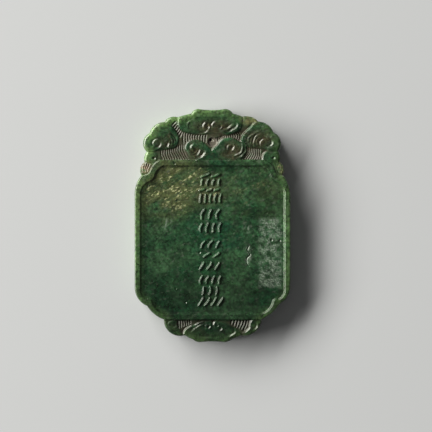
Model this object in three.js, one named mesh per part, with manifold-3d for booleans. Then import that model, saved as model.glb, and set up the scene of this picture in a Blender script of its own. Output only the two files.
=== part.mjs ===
// A carved jade pendant plaque: a bordered panel under a crest of scrolling clouds, with a small cloud foot.
// One block of stone, so one closed solid. It lies on its back: X across, Y up to the crest, Z out of the
// carved face, in millimetres, with the origin under the middle of its box.
import * as THREE from 'three';
import { mergeVertices } from 'three/addons/utils/BufferGeometryUtils.js';
import Module from 'manifold-3d';

const wasm = await Module();
wasm.setup();

// Driving sizes.
const THICKNESS = 8;
const EDGE_ROUND = 0.9;          // rounding of the outer edge, front and back
const CORD_HOLE = { x: -0.75, y: 32.95, radius: 0.5 };
const SOCKET = { x: -0.15, y: 32.1, radius: 1.95, wall: 0.35, depth: 0.55 };   // shallow cup round the hole
const ARC_STEP = 1.7;           // longest facet on a curved edge
const LINE_STEP = 1.05;         // longest facet along a carved line
const TURN_FACETS = 9;          // fewest facets in one full turn of a curl

// Levels of the carved face, above the back.
const FACE = THICKNESS;
const FIELD = FACE - 0.8;
const GROUND = FACE - 0.65;
const CREST = FACE - 0.1;        // clouds of the crest
const CURL = FACE - 0.2;         // big curls beside the hole
const LOBE = FACE - 0.35;        // lobes behind the clouds, shell tips and foot
const CLOUD_FLOOR = FACE - 0.25;
const STROKE_TOP = FIELD + 0.5;
const ABOVE = FACE + 2;          // clear of the face, for cutters
const BELOW = -2;                // clear of the back
const CLEAR = 0.4;               // how far a small cutter stands out of the surface that it cuts

// Levels of the plainer back.
const BACK_FIELD = 0.5;
const BACK_LINE = 0.42;

// ---------------------------------------------------------------------------------------------------------
// Outlines. A knot is [x, y, bow]: the edge from it to the next knot is an arc that swells out by bow.

const OUTLINE = [
  [5.0, 44.9, 0.4], [7.9, 43.1, 0.1],                                            // top cloud, right
  [11.5, 42.0, 0.85], [17.6, 40.1, 1.05], [23.5, 35.9, 1.8], [25.5, 28.7, 0.3],  // clouds, right
  [26.0, 24.5, 0.9], [27.2, 19.4, 0.9],                                          // shell tip, right
  [30.0, 10.0, 0], [30.0, -23.5, 1.15], [25.8, -30.3, 0.7],                      // panel, right
  [19.0, -36.2, 0], [18.9, -37.2, 2.0], [10.8, -42.4, 0.1],                      // foot, right
  [7.6, -43.8, 0.25], [4.6, -45.0, -0.3],
  [-5.0, -45.0, 0.25], [-7.6, -43.9, 0.1],                                       // foot, left
  [-10.7, -42.3, 2.05], [-18.7, -37.6, 0], [-18.8, -36.2, 0.7],
  [-25.2, -31.0, 1.4], [-30.0, -23.5, 0], [-30.0, 11.0, 0.85],                   // panel, left
  [-27.4, 19.3, 1.1], [-26.2, 24.4, 0.5],                                        // shell tip, left
  [-25.4, 28.4, 1.9], [-24.3, 35.5, 1.15], [-18.6, 39.9, 0.95],                  // clouds, left
  [-13.3, 41.7, 0.12], [-8.3, 43.1, 0.4], [-5.6, 44.9, -0.45],                   // top cloud, left
];

// Right half of the sunk field, from the top edge down; the left half mirrors it.
const FIELD_HALF = [
  [18.6, 23.0, 0.8], [22.4, 18.9, -0.25], [24.0, 17.1, 0.9],
  [27.8, 12.5, 0], [27.8, -23.8, 1.0], [25.3, -28.5, -0.35],
  [23.4, -29.0, 1.15], [18.4, -34.1, 0],
];

// Raised forms that stand up out of the sunk ground, each with the height of its top. Past the plaque's own
// outline a form is only closed off, and the panel's sides run on past the face.
const PANEL = { top: FACE + CLEAR, run: [
  [-20.4, 25.1, 0], [20.4, 25.1, 0.7], [24.2, 20.5, -0.3], [27.3, 19.1, 0], [33, 19.1, 0],
  [33, -36.3, 0], [-33, -36.3, 0], [-33, 19.1, 0], [-27.4, 19.1, -0.3], [-24.2, 20.5, 0.7]] };
const TOP_CLOUD = { top: CREST, run: [
  [-13.3, 47, 0], [11.4, 47, 0], [11.4, 41.6, 0.2], [11.1, 38.0, 0.5], [9.2, 35.9, 0.2], [4.6, 35.0, 0],
  [-0.1, 35.4, 0], [-6.1, 35.0, 0.2], [-11.4, 36.2, 0.5], [-13.3, 39.4, 0]] };
const LEFT_CLOUD = { top: CREST, run: [
  [-18.6, 39.9, 0.3], [-14.4, 36.6, 0.7], [-13.3, 31.9, 0.6], [-15.6, 29.7, 0], [-20.4, 29.2, 0],
  [-22.5, 28.4, 0], [-32, 28.4, 0], [-32, 40, 0]] };
const RIGHT_CLOUD = { top: CREST, run: [
  [32, 28.7, 0], [22.6, 28.7, 0], [20.4, 29.4, 0], [14.0, 29.9, 0.5], [11.0, 33.1, 0.35], [13.3, 36.9, -0.1],
  [15.2, 39.0, 0.1], [17.6, 40.2, 0], [32, 42, 0]] };
const LOBES = [
  [[-13.0, 44, 0], [-13.0, 38.6, 0], [-15.6, 38.2, 0], [-19, 40.0, 0], [-19, 44, 0]],
  [[11.2, 44, 0], [18, 42, 0], [17.4, 39.9, 0], [14.2, 37.6, 0], [11.0, 38.6, 0]],
  [[-32, 28.6, 0], [-22.2, 28.4, 0.4], [-21.2, 26.6, 0], [-21.2, 19, 0], [-32, 19, 0]],
  [[32, 19, 0], [19.2, 19, 0], [19.3, 26.8, 0.5], [21.2, 28.2, 0], [32, 28.9, 0]],
].map((run) => ({ top: LOBE, run }));
const BIG_CURLS = { top: CURL, run: [
  [-5.4, 24, 0], [-7.2, 25.6, 0.3], [-9.9, 28.6, 0.35], [-10.3, 30.9, 0.8], [-6.4, 33.0, 0.4],
  [-3.2, 31.6, 0], [-0.4, 28.9, 0.1], [1.1, 30.1, -0.1], [3.5, 32.6, 0.1], [5.6, 33.7, 0.5],
  [9.6, 32.6, 0.4], [13.4, 30.4, 0.5], [11.0, 24, 0]] };
const FOOT = [
  [[-11.4, -42.4, 0.3], [-9.4, -39.0, 0.3], [-4.0, -36.9, 0.2], [3.4, -37.1, 0.4], [9.4, -40.2, 0.4],
    [11.2, -42.6, 0], [8, -47, 0], [-8, -47, 0]],
  [[-20, -35, 0], [-13.6, -35, 0], [-13.4, -38.4, 0.4], [-12.0, -41.0, 0], [-10.6, -44, 0], [-20, -44, 0]],
  [[20, -35, 0], [20, -44, 0], [10.6, -44, 0], [12.6, -41.0, 0.4], [14.3, -38.0, 0.2], [14.6, -35, 0]],
].map((run) => ({ top: LOBE, run }));
const FORMS = [PANEL, TOP_CLOUD, LEFT_CLOUD, RIGHT_CLOUD, ...LOBES, BIG_CURLS, ...FOOT];

// Sunk inside of the top cloud, between its rim and its lower edge.
const TOP_CLOUD_HOLLOW = [
  [-9.4, 37.3, 0], [-9.7, 38.6, 0.4], [-7.2, 41.0, 0.2], [-5.4, 41.9, 0], [4.2, 41.9, 0.3], [9.4, 39.8, 0.5],
  [9.2, 37.4, 0.2], [6.0, 34.0, 0], [-6.0, 34.0, 0],
];

// ---------------------------------------------------------------------------------------------------------
// Curves in the plane of the face.

const point = (x, y) => new THREE.Vector2(x, y);

function arcBetween(from, to, bow, step) {
  const chord = to.clone().sub(from);
  const length = chord.length();
  if (bow === 0) return [from];
  const radius = (length * length / 4 + bow * bow) / (2 * Math.abs(bow));
  const outward = point(-chord.y, chord.x).divideScalar(length).multiplyScalar(Math.sign(bow));
  const centre = from.clone().add(to).divideScalar(2).addScaledVector(outward, Math.abs(bow) - radius);
  const start = from.clone().sub(centre);
  const sweep = -2 * Math.asin(Math.min(1, length / (2 * radius))) * Math.sign(bow);
  const count = Math.max(2, Math.ceil(Math.abs(sweep) * radius / step));
  return Array.from({ length: count }, (_, i) => start.clone().rotateAround(point(0, 0), sweep * i / count)
    .add(centre));
}

function closedRun(knots, step = ARC_STEP) {
  return knots.flatMap(([x, y, bow], i) => {
    const [nextX, nextY] = knots[(i + 1) % knots.length];
    return arcBetween(point(x, y), point(nextX, nextY), bow, step);
  });
}

function mirrored(half) {
  const last = half.length - 1;
  const otherSide = half.map((_, i) => {
    const [x, y] = half[last - i];
    return [-x, y, i < last ? half[last - i - 1][2] : 0];
  });
  return [...half, ...otherSide];
}

function spiral({ x, y, inner, outer, start, turns }) {
  const sweep = turns * 2 * Math.PI;
  const byLength = Math.abs(sweep) * (inner + outer) / 2 / LINE_STEP;
  const count = Math.ceil(Math.max(byLength, Math.abs(turns) * TURN_FACETS));
  return Array.from({ length: count + 1 }, (_, i) => {
    const radius = inner + (outer - inner) * i / count;
    const angle = THREE.MathUtils.degToRad(start) + sweep * i / count;
    return point(x + radius * Math.cos(angle), y + radius * Math.sin(angle));
  });
}

// A smooth line through a few places, each [x, y].
function line(...places) {
  if (places.length === 2) return places.map(([x, y]) => point(x, y));
  const curve = new THREE.SplineCurve(places.map(([x, y]) => point(x, y)));
  return curve.getPoints(Math.max(3, Math.ceil(curve.getLength() / LINE_STEP)));
}

// Short lines spaced evenly between a first and a last guide line.
function comb(first, last, count) {
  return Array.from({ length: count }, (_, i) => {
    const t = i / (count - 1);
    return first.map(([x, y], k) => point(x + (last[k][0] - x) * t, y + (last[k][1] - y) * t));
  });
}

// ---------------------------------------------------------------------------------------------------------
// Solids.

function toManifold(geometry) {
  geometry.deleteAttribute('normal');
  geometry.deleteAttribute('uv');
  const merged = mergeVertices(geometry, 1e-5);
  return new wasm.Manifold(new wasm.Mesh({
    numProp: 3,
    vertProperties: new Float32Array(merged.attributes.position.array),
    triVerts: new Uint32Array(merged.index.array),
  }));
}

// A prism between two heights whose ends draw in by inset over the height rise.
function slab(points, low, high, inset = 0, rise = 0, steps = 1) {
  const geometry = new THREE.ExtrudeGeometry(new THREE.Shape(points), {
    depth: high - low - 2 * rise,
    bevelEnabled: inset > 0,
    bevelThickness: rise,
    bevelSize: inset,
    bevelOffset: -inset,
    bevelSegments: steps,
  });
  geometry.translate(0, 0, low + rise);
  return toManifold(geometry);
}

// A bar along a line in the plane. Its section is a convex run of [side, height] corners, with positive sides
// to the left of the line, and its sides draw in to a share of their reach at both ends.
function bar(path, section, endShare) {
  const count = path.length;
  const corners = path.flatMap((place, i) => {
    const along = path[Math.min(i + 1, count - 1)].clone().sub(path[Math.max(i - 1, 0)]).normalize();
    const middle = Math.max(0, Math.sin(Math.PI * i / (count - 1)));
    const share = endShare + (1 - endShare) * Math.sqrt(middle);
    const sideways = point(-along.y, along.x).multiplyScalar(share);
    return section.flatMap(([side, z]) => [place.x + sideways.x * side, place.y + sideways.y * side, z]);
  });
  const sides = section.length;
  const last = sides * (count - 1);
  const faces = [];
  for (let k = 1; k + 1 < sides; k++) faces.push(0, k + 1, k, last, last + k, last + k + 1);
  for (let first = 0; first < last; first += sides) {
    for (let k = 0; k < sides; k++) {
      const [a, b] = [first + k, first + (k + 1) % sides];
      faces.push(a, b, b + sides, a, b + sides, a + sides);
    }
  }
  const geometry = new THREE.BufferGeometry();
  geometry.setAttribute('position', new THREE.Float32BufferAttribute(corners, 3));
  geometry.setIndex(faces);
  return toManifold(geometry);
}

// A raised stroke, rooted under the field, with sloping sides.
function strokeRidge(path) {
  const [foot, crown] = [0.48, 0.2];
  const root = FIELD - CLEAR;
  return bar(path, [[-foot, root], [foot, root], [crown, STROKE_TOP], [-crown, STROKE_TOP]], 0.8);
}

// A cut with straight sides down from a surface to its bottom, which lies at a side of the line.
function cut(path, surface, depth, [right, bottom, left], endShare) {
  const above = surface + CLEAR;
  const deepest = [bottom, surface - depth];
  return bar(path, [deepest, [left, surface], [left, above], [right, above], [right, surface]], endShare);
}

const groove = (path, surface, depth, half) => cut(path, surface, depth, [-half, 0, half], 0.6);

// A one-sided cut: a steep edge on the left of the line, and a long ramp back up on its right.
const STEP_SIDES = [-1.0, -0.35, 0.3];
const step = (path, surface, depth) => cut(path, surface, depth, STEP_SIDES, 0.35);

const stepAll = (surface, steps) => steps.map(([depth, ...places]) => step(line(...places), surface, depth));

const joined = (solids) => wasm.Manifold.union(solids);

// ---------------------------------------------------------------------------------------------------------
// The carving, part by part.

// Ground sunk around the raised forms, whose sides lean in towards their tops.
function groundCutter() {
  const [reach, lean] = [50, 0.4];
  const corners = [[-reach, -reach], [reach, -reach], [reach, reach], [-reach, reach]];
  const zone = slab(corners.map((place) => point(...place)), GROUND, ABOVE);
  const raised = FORMS.map(({ top, run }) => {
    const inset = lean + Math.max(0, top - FACE);
    return slab(closedRun(run), GROUND - 1, top, inset, inset);
  });
  return zone.subtract(joined(raised));
}

function topCloudCarving() {
  return [
    slab(closedRun(TOP_CLOUD_HOLLOW), CLOUD_FLOOR, ABOVE, 0.35, 0.5),
    ...stepAll(CLOUD_FLOOR, [
      [0.32, [-6.4, 41.2], [-7.6, 40.6], [-9.0, 39.9], [-9.8, 39.0], [-9.8, 37.8]],
      [0.46, [-2.2, 39.7], [-3.2, 39.4], [-3.7, 38.4], [-3.3, 37.3]],
      [0.5, [-2.0, 38.9], [-1.5, 38.2], [-1.5, 37.5], [-2.3, 37.0]],
      [0.46, [-1.4, 37.1], [-1.9, 36.3], [-3.0, 35.75], [-5.2, 35.5]],
      [0.46, [1.4, 40.2], [0.3, 39.4], [-0.3, 38.5], [-0.2, 37.5]],
      [0.3, [3.2, 38.8], [3.5, 37.8], [2.7, 36.9]],
      [0.5, [8.3, 39.2], [6.9, 38.3], [5.6, 37.4], [4.0, 36.8]],
      [0.5, [9.3, 40.0], [9.6, 38.7], [9.1, 37.7], [7.8, 37.0], [6.6, 36.25], [4.9, 35.8]],
    ]),
  ];
}

function sideCloudCarving() {
  return stepAll(CREST, [
    [0.52, [-21.0, 33.3], [-22.3, 32.7], [-22.9, 31.8], [-22.5, 30.5]],                       // left
    [0.52, [-19.9, 32.1], [-20.0, 30.9], [-20.8, 29.9], [-22.1, 29.5]],
    [0.5, [-16.9, 32.6], [-16.8, 31.4], [-17.3, 30.1], [-18.3, 30.2]],
    [0.46, [-17.4, 35.2], [-16.4, 34.0], [-15.8, 32.6], [-15.8, 31.2], [-16.2, 30.2]],
    [0.34, [-15.6, 34.3], [-14.9, 33.1], [-14.6, 31.9], [-15.3, 31.0]],
    [0.34, [-17.6, 36.8], [-15.6, 35.8], [-14.3, 34.2], [-13.8, 32.8], [-14.0, 31.4]],
    [0.46, [20.8, 33.4], [19.3, 33.0], [18.4, 31.9], [18.2, 30.3]],                           // right
    [0.6, [21.9, 33.6], [22.9, 32.7], [23.1, 31.4], [22.3, 30.5], [20.9, 30.0]],
    [0.46, [18.4, 35.3], [16.9, 34.5], [15.9, 33.0], [15.6, 31.8], [15.9, 30.4]],
    [0.3, [15.6, 34.2], [14.8, 33.2], [14.5, 32.0], [14.8, 30.9]],
    [0.34, [16.0, 35.3], [14.6, 34.5], [13.6, 33.4], [13.4, 31.9]],
  ]);
}

function bigCurlCarving() {
  return stepAll(CURL, [
    [0.46, [-7.2, 31.5], [-8.2, 30.7], [-8.2, 29.6], [-7.4, 28.6]],                           // left
    [0.4, [-4.8, 29.6], [-5.2, 28.0], [-6.1, 27.1], [-7.5, 26.8]],
    [0.6, [-2.9, 29.2], [-3.1, 27.7], [-4.0, 26.6], [-5.2, 26.0], [-6.6, 25.7]],
    [0.46, [7.3, 31.2], [6.1, 30.7], [5.6, 29.9], [5.6, 28.8]],                               // right
    [0.46, [7.5, 31.4], [8.1, 30.3], [7.7, 29.3], [6.9, 28.9]],
    [0.46, [11.0, 31.6], [11.3, 30.0], [10.9, 28.5], [9.8, 27.5], [7.8, 26.8]],
    [0.46, [12.4, 30.6], [12.4, 28.9], [11.6, 27.4], [10.2, 26.4], [8.4, 25.8]],
    [0.5, [5.2, 34.3], [3.5, 33.4], [2.4, 32.2], [1.5, 31.0], [0.6, 29.9], [-0.6, 28.9]],
  ]);
}

// Wheel-cut wave lines on the ground of the crest and the foot.
function waveLines() {
  const combs = [
    comb([[-11.0, 35.8], [-11.4, 34.3], [-11.1, 31.8]], [[-2.4, 34.9], [-2.8, 33.6], [-2.6, 32.0]], 10),
    comb([[-14.2, 39.9], [-15.4, 38.5]], [[-11.9, 36.2], [-12.8, 34.4]], 6),
    comb([[3.6, 34.8], [3.7, 33.8]], [[10.0, 35.8], [10.2, 32.2]], 7),
    comb([[-19.8, 28.8], [-19.7, 27.2], [-19.2, 25.4]], [[-11.3, 31.4], [-11.2, 28.8], [-9.4, 25.5]], 11),
    comb([[12.8, 30.6], [12.8, 27.8], [11.0, 25.6]], [[18.2, 29.6], [18.2, 27.7], [17.7, 25.6]], 7),
    comb([[-13.2, -36.5], [-13.0, -39.4]], [[-8.6, -36.5], [-8.6, -37.8]], 6),
    comb([[7.5, -36.5], [7.2, -38.0]], [[13.3, -36.5], [12.0, -40.4]], 6),
  ];
  return combs.flat().map((path) => groove(path, GROUND, 0.34, 0.42));
}

function lobeCarving() {
  const shellLeft = comb([[-26.9, 23.4], [-27.3, 20.4]], [[-24.3, 24.0], [-25.3, 20.6]], 4);
  const shellRight = comb([[26.4, 23.4], [26.9, 20.4]], [[24.3, 24.0], [25.2, 20.6]], 4);
  return [
    ...[...shellLeft, ...shellRight].map((path) => groove(path, LOBE, 0.24, 0.4)),
    ...stepAll(LOBE, [[0.5, [21.4, 28.5], [19.9, 28.0], [19.3, 26.9], [19.0, 24.8]]]),
    ...[{ x: -22.5, y: 25.9 }, { x: 23.4, y: 26.0 }].map((pit) => drilled(pit, LOBE - 0.35, 0.25, LOBE, 0.6)),
  ];
}

function footCarving() {
  return stepAll(LOBE, [
    [0.5, [-7.8, -38.6], [-9.6, -39.3], [-10.8, -40.5], [-11.3, -42.0]],
    [0.42, [-2.4, -37.5], [-5.0, -38.5], [-7.0, -39.5], [-8.6, -41.1]],
    [0.42, [-1.5, -37.8], [-1.1, -38.9], [-1.9, -39.8]],
    [0.42, [1.6, -36.4], [0.6, -37.3], [0.4, -38.3], [1.0, -39.3]],
    [0.42, [3.4, -38.8], [3.5, -39.8], [2.4, -40.4]],
    [0.46, [8.4, -39.5], [8.7, -40.8], [7.9, -41.8], [6.2, -42.5], [4.2, -42.9]],
    [0.42, [17.0, -37.5], [17.2, -38.8], [16.6, -39.7], [15.2, -40.2]],
    [0.32, [-14.6, -36.7], [-15.8, -36.6], [-17.0, -37.4], [-16.9, -38.6]],
  ]);
}

// Rows of plain raised strokes down the middle of the field, in four groups. They spell nothing.
// A row is [count, y, pitch, lean, half height, bend, shift].
const STROKES_X = -0.7;
const STROKE_ROWS = [
  [2, 19.2, 4.0, 1.5, 0.5, 0.2, 0],
  [4, 16.6, 2.2, 0.2, 1.0, -0.2, 0],
  [3, 13.6, 2.9, 0.9, 0.35, 0.1, -0.5],
  [5, 10.4, 1.9, 0.15, 1.5, -0.25, 0],

  [3, 4.3, 2.9, 0.5, 1.7, -0.5, 0],
  [4, -0.9, 2.4, 0.3, 1.6, -0.3, 0],

  [3, -7.3, 2.9, 0.7, 1.2, -0.3, 0],
  [2, -11.4, 3.8, 1.1, 0.8, 0.1, 0.4],
  [3, -15.6, 3.0, 0.8, 1.3, 0.2, -0.4],

  [4, -21.0, 2.4, 0.4, 1.3, -0.3, 0],
  [3, -25.2, 2.6, 0.2, 1.5, 0.3, -0.3],
  [4, -29.4, 2.5, 0.9, 1.4, 0.2, 0],
];

function strokes() {
  return STROKE_ROWS.flatMap(([count, y, pitch, lean, halfHeight, bend, shift]) => (
    Array.from({ length: count }, (_, i) => {
      const x = STROKES_X + shift + (i - (count - 1) / 2) * pitch;
      const places = [[x - lean, y - halfHeight], [x + bend, y], [x + lean, y + halfHeight]];
      return strokeRidge(places.map((place) => point(...place)));
    })
  ));
}

// The back: a sunk plain field, one line inside the crest and foot, and two simple curls.
function backCutters() {
  const half = 0.55;
  const vee = [[-half, -CLEAR], [half, -CLEAR], [half, 0], [0, BACK_LINE], [-half, 0]];
  const lines = [
    line([-18.4, 27.6], [-22.4, 31.2], [-20.2, 35.4], [-14.4, 36.6]),
    line([18.2, 27.6], [22.2, 31.2], [20.0, 35.4], [14.2, 36.6]),
    line([-10.4, 39.2], [-5.4, 41.2], [0, 40.7], [4.8, 41.2], [9.6, 39.2]),
    spiral({ x: -9.6, y: 30.6, inner: 0.8, outer: 3.6, start: 180, turns: -1.25 }),
    spiral({ x: 9.2, y: 30.6, inner: 0.8, outer: 3.6, start: 0, turns: 1.25 }),
    line([-14.0, -38.6], [-8.6, -40.6], [0, -42.2], [8.6, -40.6], [14.0, -38.6]),
  ].map((path) => bar(path, vee, 0.6));
  return [slab(closedRun(mirrored(FIELD_HALF)), BELOW, BACK_FIELD, 0.4, BACK_FIELD), ...lines];
}

// The uncarved blank, with its outer edge rounded front and back.
function roundedBody() {
  return slab(closedRun(OUTLINE), 0, THICKNESS, EDGE_ROUND, EDGE_ROUND, 2);
}

// A round cut along Z between two heights, with a radius at each.
function drilled({ x, y }, low, lowRadius, high, highRadius) {
  const cone = new THREE.CylinderGeometry(highRadius, lowRadius, high - low, 18);
  cone.rotateX(Math.PI / 2);
  cone.translate(x, y, (low + high) / 2);
  return toManifold(cone);
}

// The bore through the stone, and the shallow cup that it opens into.
function cordHole() {
  const bore = drilled(CORD_HOLE, BELOW, CORD_HOLE.radius, ABOVE, CORD_HOLE.radius);
  const floor = GROUND - SOCKET.depth;
  return bore.add(drilled(SOCKET, floor, SOCKET.radius - SOCKET.wall, FACE, SOCKET.radius));
}

function carvedPlaque() {
  const field = slab(closedRun(mirrored(FIELD_HALF)), FIELD, ABOVE, 0.5, FACE - FIELD);
  const sunk = joined([
    field,
    groundCutter(),
    ...topCloudCarving(),
    ...sideCloudCarving(),
    ...bigCurlCarving(),
    ...lobeCarving(),
    ...waveLines(),
    ...footCarving(),
    ...backCutters(),
  ]);
  return roundedBody().subtract(sunk).add(joined(strokes())).subtract(cordHole());
}

function toGeometry(solid) {
  const { vertProperties, triVerts } = solid.getMesh();
  const geometry = new THREE.BufferGeometry();
  geometry.setAttribute('position', new THREE.BufferAttribute(new Float32Array(vertProperties), 3));
  geometry.setIndex(new THREE.BufferAttribute(new Uint32Array(triVerts), 1));
  geometry.computeBoundingBox();
  const { min, max } = geometry.boundingBox;
  geometry.translate(-(min.x + max.x) / 2, -(min.y + max.y) / 2, -min.z);
  geometry.computeVertexNormals();
  return geometry;
}

const jade = new THREE.MeshStandardMaterial({ color: 0x2f5a3c, roughness: 0.32, metalness: 0 });
const plaque = new THREE.Mesh(toGeometry(carvedPlaque()), jade);
plaque.name = 'plaque';

const object = new THREE.Group();
object.name = 'jade_plaque';
object.add(plaque);

export default object;
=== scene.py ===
"""A carved jade pendant plaque, lying on its back and seen from straight above.

The whole plaque is one piece of stone. Its two faces are height maps, painted with the carving in drawing
millimetres, and triangulated finely where they curve and coarsely where they are flat.
"""
import math

import bpy
import numpy as np
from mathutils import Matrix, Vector
from mathutils.geometry import delaunay_2d_cdt


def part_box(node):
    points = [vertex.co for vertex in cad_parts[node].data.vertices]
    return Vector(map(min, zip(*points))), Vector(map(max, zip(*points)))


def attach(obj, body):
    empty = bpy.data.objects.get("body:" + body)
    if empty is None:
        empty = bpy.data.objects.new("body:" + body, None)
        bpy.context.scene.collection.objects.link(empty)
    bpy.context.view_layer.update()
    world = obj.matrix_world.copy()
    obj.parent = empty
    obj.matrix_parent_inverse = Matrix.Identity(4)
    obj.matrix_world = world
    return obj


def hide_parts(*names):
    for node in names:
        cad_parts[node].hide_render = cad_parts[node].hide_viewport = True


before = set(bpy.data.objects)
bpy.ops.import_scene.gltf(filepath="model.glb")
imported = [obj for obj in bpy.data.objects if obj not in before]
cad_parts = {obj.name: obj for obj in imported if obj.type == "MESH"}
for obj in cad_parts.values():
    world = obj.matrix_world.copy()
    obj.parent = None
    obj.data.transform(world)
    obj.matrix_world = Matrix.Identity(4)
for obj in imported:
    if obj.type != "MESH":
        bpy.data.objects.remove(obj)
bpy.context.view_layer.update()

# The box of the solids, before anything is added.
node_low, node_high = (np.array(corner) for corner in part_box("plaque"))

# ------------------------------------------------------------------------------------------------------------
# Driving sizes. The drawing is in millimetres, and DRAWN_HEIGHT is the height of its outline.

DRAWN_HEIGHT = 89.9
MM = (node_high[1] - node_low[1]) / DRAWN_HEIGHT      # one drawing millimetre, in metres
FACE = (node_high[2] - node_low[2]) / MM              # thickness of the plaque
EDGE_ROUND = 0.5                                      # how far in from the outline the edge is rounded
BEVEL_WIDTH, BEVEL_SLOPE = 0.3, 0.5                   # the sloping rim inside that
BEVEL_SHARE_BELOW = 0.2                               # how much of the rim is left below the crest

FIELD = FACE - 0.8
GROUND = FACE - 0.65
CREST = FACE - 0.1
CURL = FACE - 0.2
LOBE = FACE - 0.35
CLOUD_FLOOR = FACE - 0.25
STROKE_RISE = 0.5
STROKE_HALF = 0.41
STROKES_X = -0.7
HOLE_X, HOLE_Y, HOLE_RADIUS = -0.75, 32.95, 0.5
SOCKET_X, SOCKET_Y, SOCKET_RADIUS = -0.15, 32.1, 1.95     # shallow round socket that the hole opens into
SOCKET_DEPTH, SOCKET_WALL = 0.55, 0.35
BACK_FIELD_DEPTH = 0.5
BACK_LINE_DEPTH = 0.42

# Outlines are closed runs of arcs. A knot is (x, y, bow): its edge to the next knot swells out by bow.
OUTLINE = [
    (5.0, 44.9, 0.4), (7.9, 43.1, 0.1),                                              # top cloud, right
    (11.5, 42.0, 0.85), (17.6, 40.1, 1.05), (23.5, 35.9, 1.8), (25.5, 28.7, 0.3),    # clouds, right
    (26.0, 24.5, 0.9), (27.2, 19.4, 0.9),                                            # shell tip, right
    (30.0, 10.0, 0), (30.0, -23.5, 1.15), (25.8, -30.3, 0.7),                        # panel, right
    (19.0, -36.2, 0), (18.9, -37.2, 2.0), (10.8, -42.4, 0.1),                        # foot, right
    (7.6, -43.8, 0.25), (4.6, -45.0, -0.3),
    (-5.0, -45.0, 0.25), (-7.6, -43.9, 0.1),                                         # foot, left
    (-10.7, -42.3, 2.05), (-18.7, -37.6, 0), (-18.8, -36.2, 0.7),
    (-25.2, -31.0, 1.4), (-30.0, -23.5, 0), (-30.0, 11.0, 0.85),                     # panel, left
    (-27.4, 19.3, 1.1), (-26.2, 24.4, 0.5),                                          # shell tip, left
    (-25.4, 28.4, 1.9), (-24.3, 35.5, 1.15), (-18.6, 39.9, 0.95),                    # clouds, left
    (-13.3, 41.7, 0.12), (-8.3, 43.1, 0.4), (-5.6, 44.9, -0.45),                     # top cloud, left
]
FIELD_HALF = [
    (18.6, 23.0, 0.8), (22.4, 18.9, -0.25), (24.0, 17.1, 0.9),
    (27.8, 12.5, 0), (27.8, -23.8, 1.0), (25.3, -28.5, -0.35),
    (23.4, -29.0, 1.15), (18.4, -34.1, 0),
]

# The panel's own run, and where the parts of the plaque meet. Past the outline the run is only a box.
PANEL_TOP = 25.1
PANEL_BOTTOM = -36.3
CREST_BOTTOM, SHELL_BOTTOM, FOOT_TOP = 24.6, 19, -36
PANEL = [
    (-20.4, PANEL_TOP, 0), (20.4, PANEL_TOP, 0.7), (24.2, 20.5, -0.3), (27.3, 19.1, 0), (33, 19.1, 0),
    (33, PANEL_BOTTOM, 0), (-33, PANEL_BOTTOM, 0), (-33, 19.1, 0), (-27.4, 19.1, -0.3), (-24.2, 20.5, 0.7),
]

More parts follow.
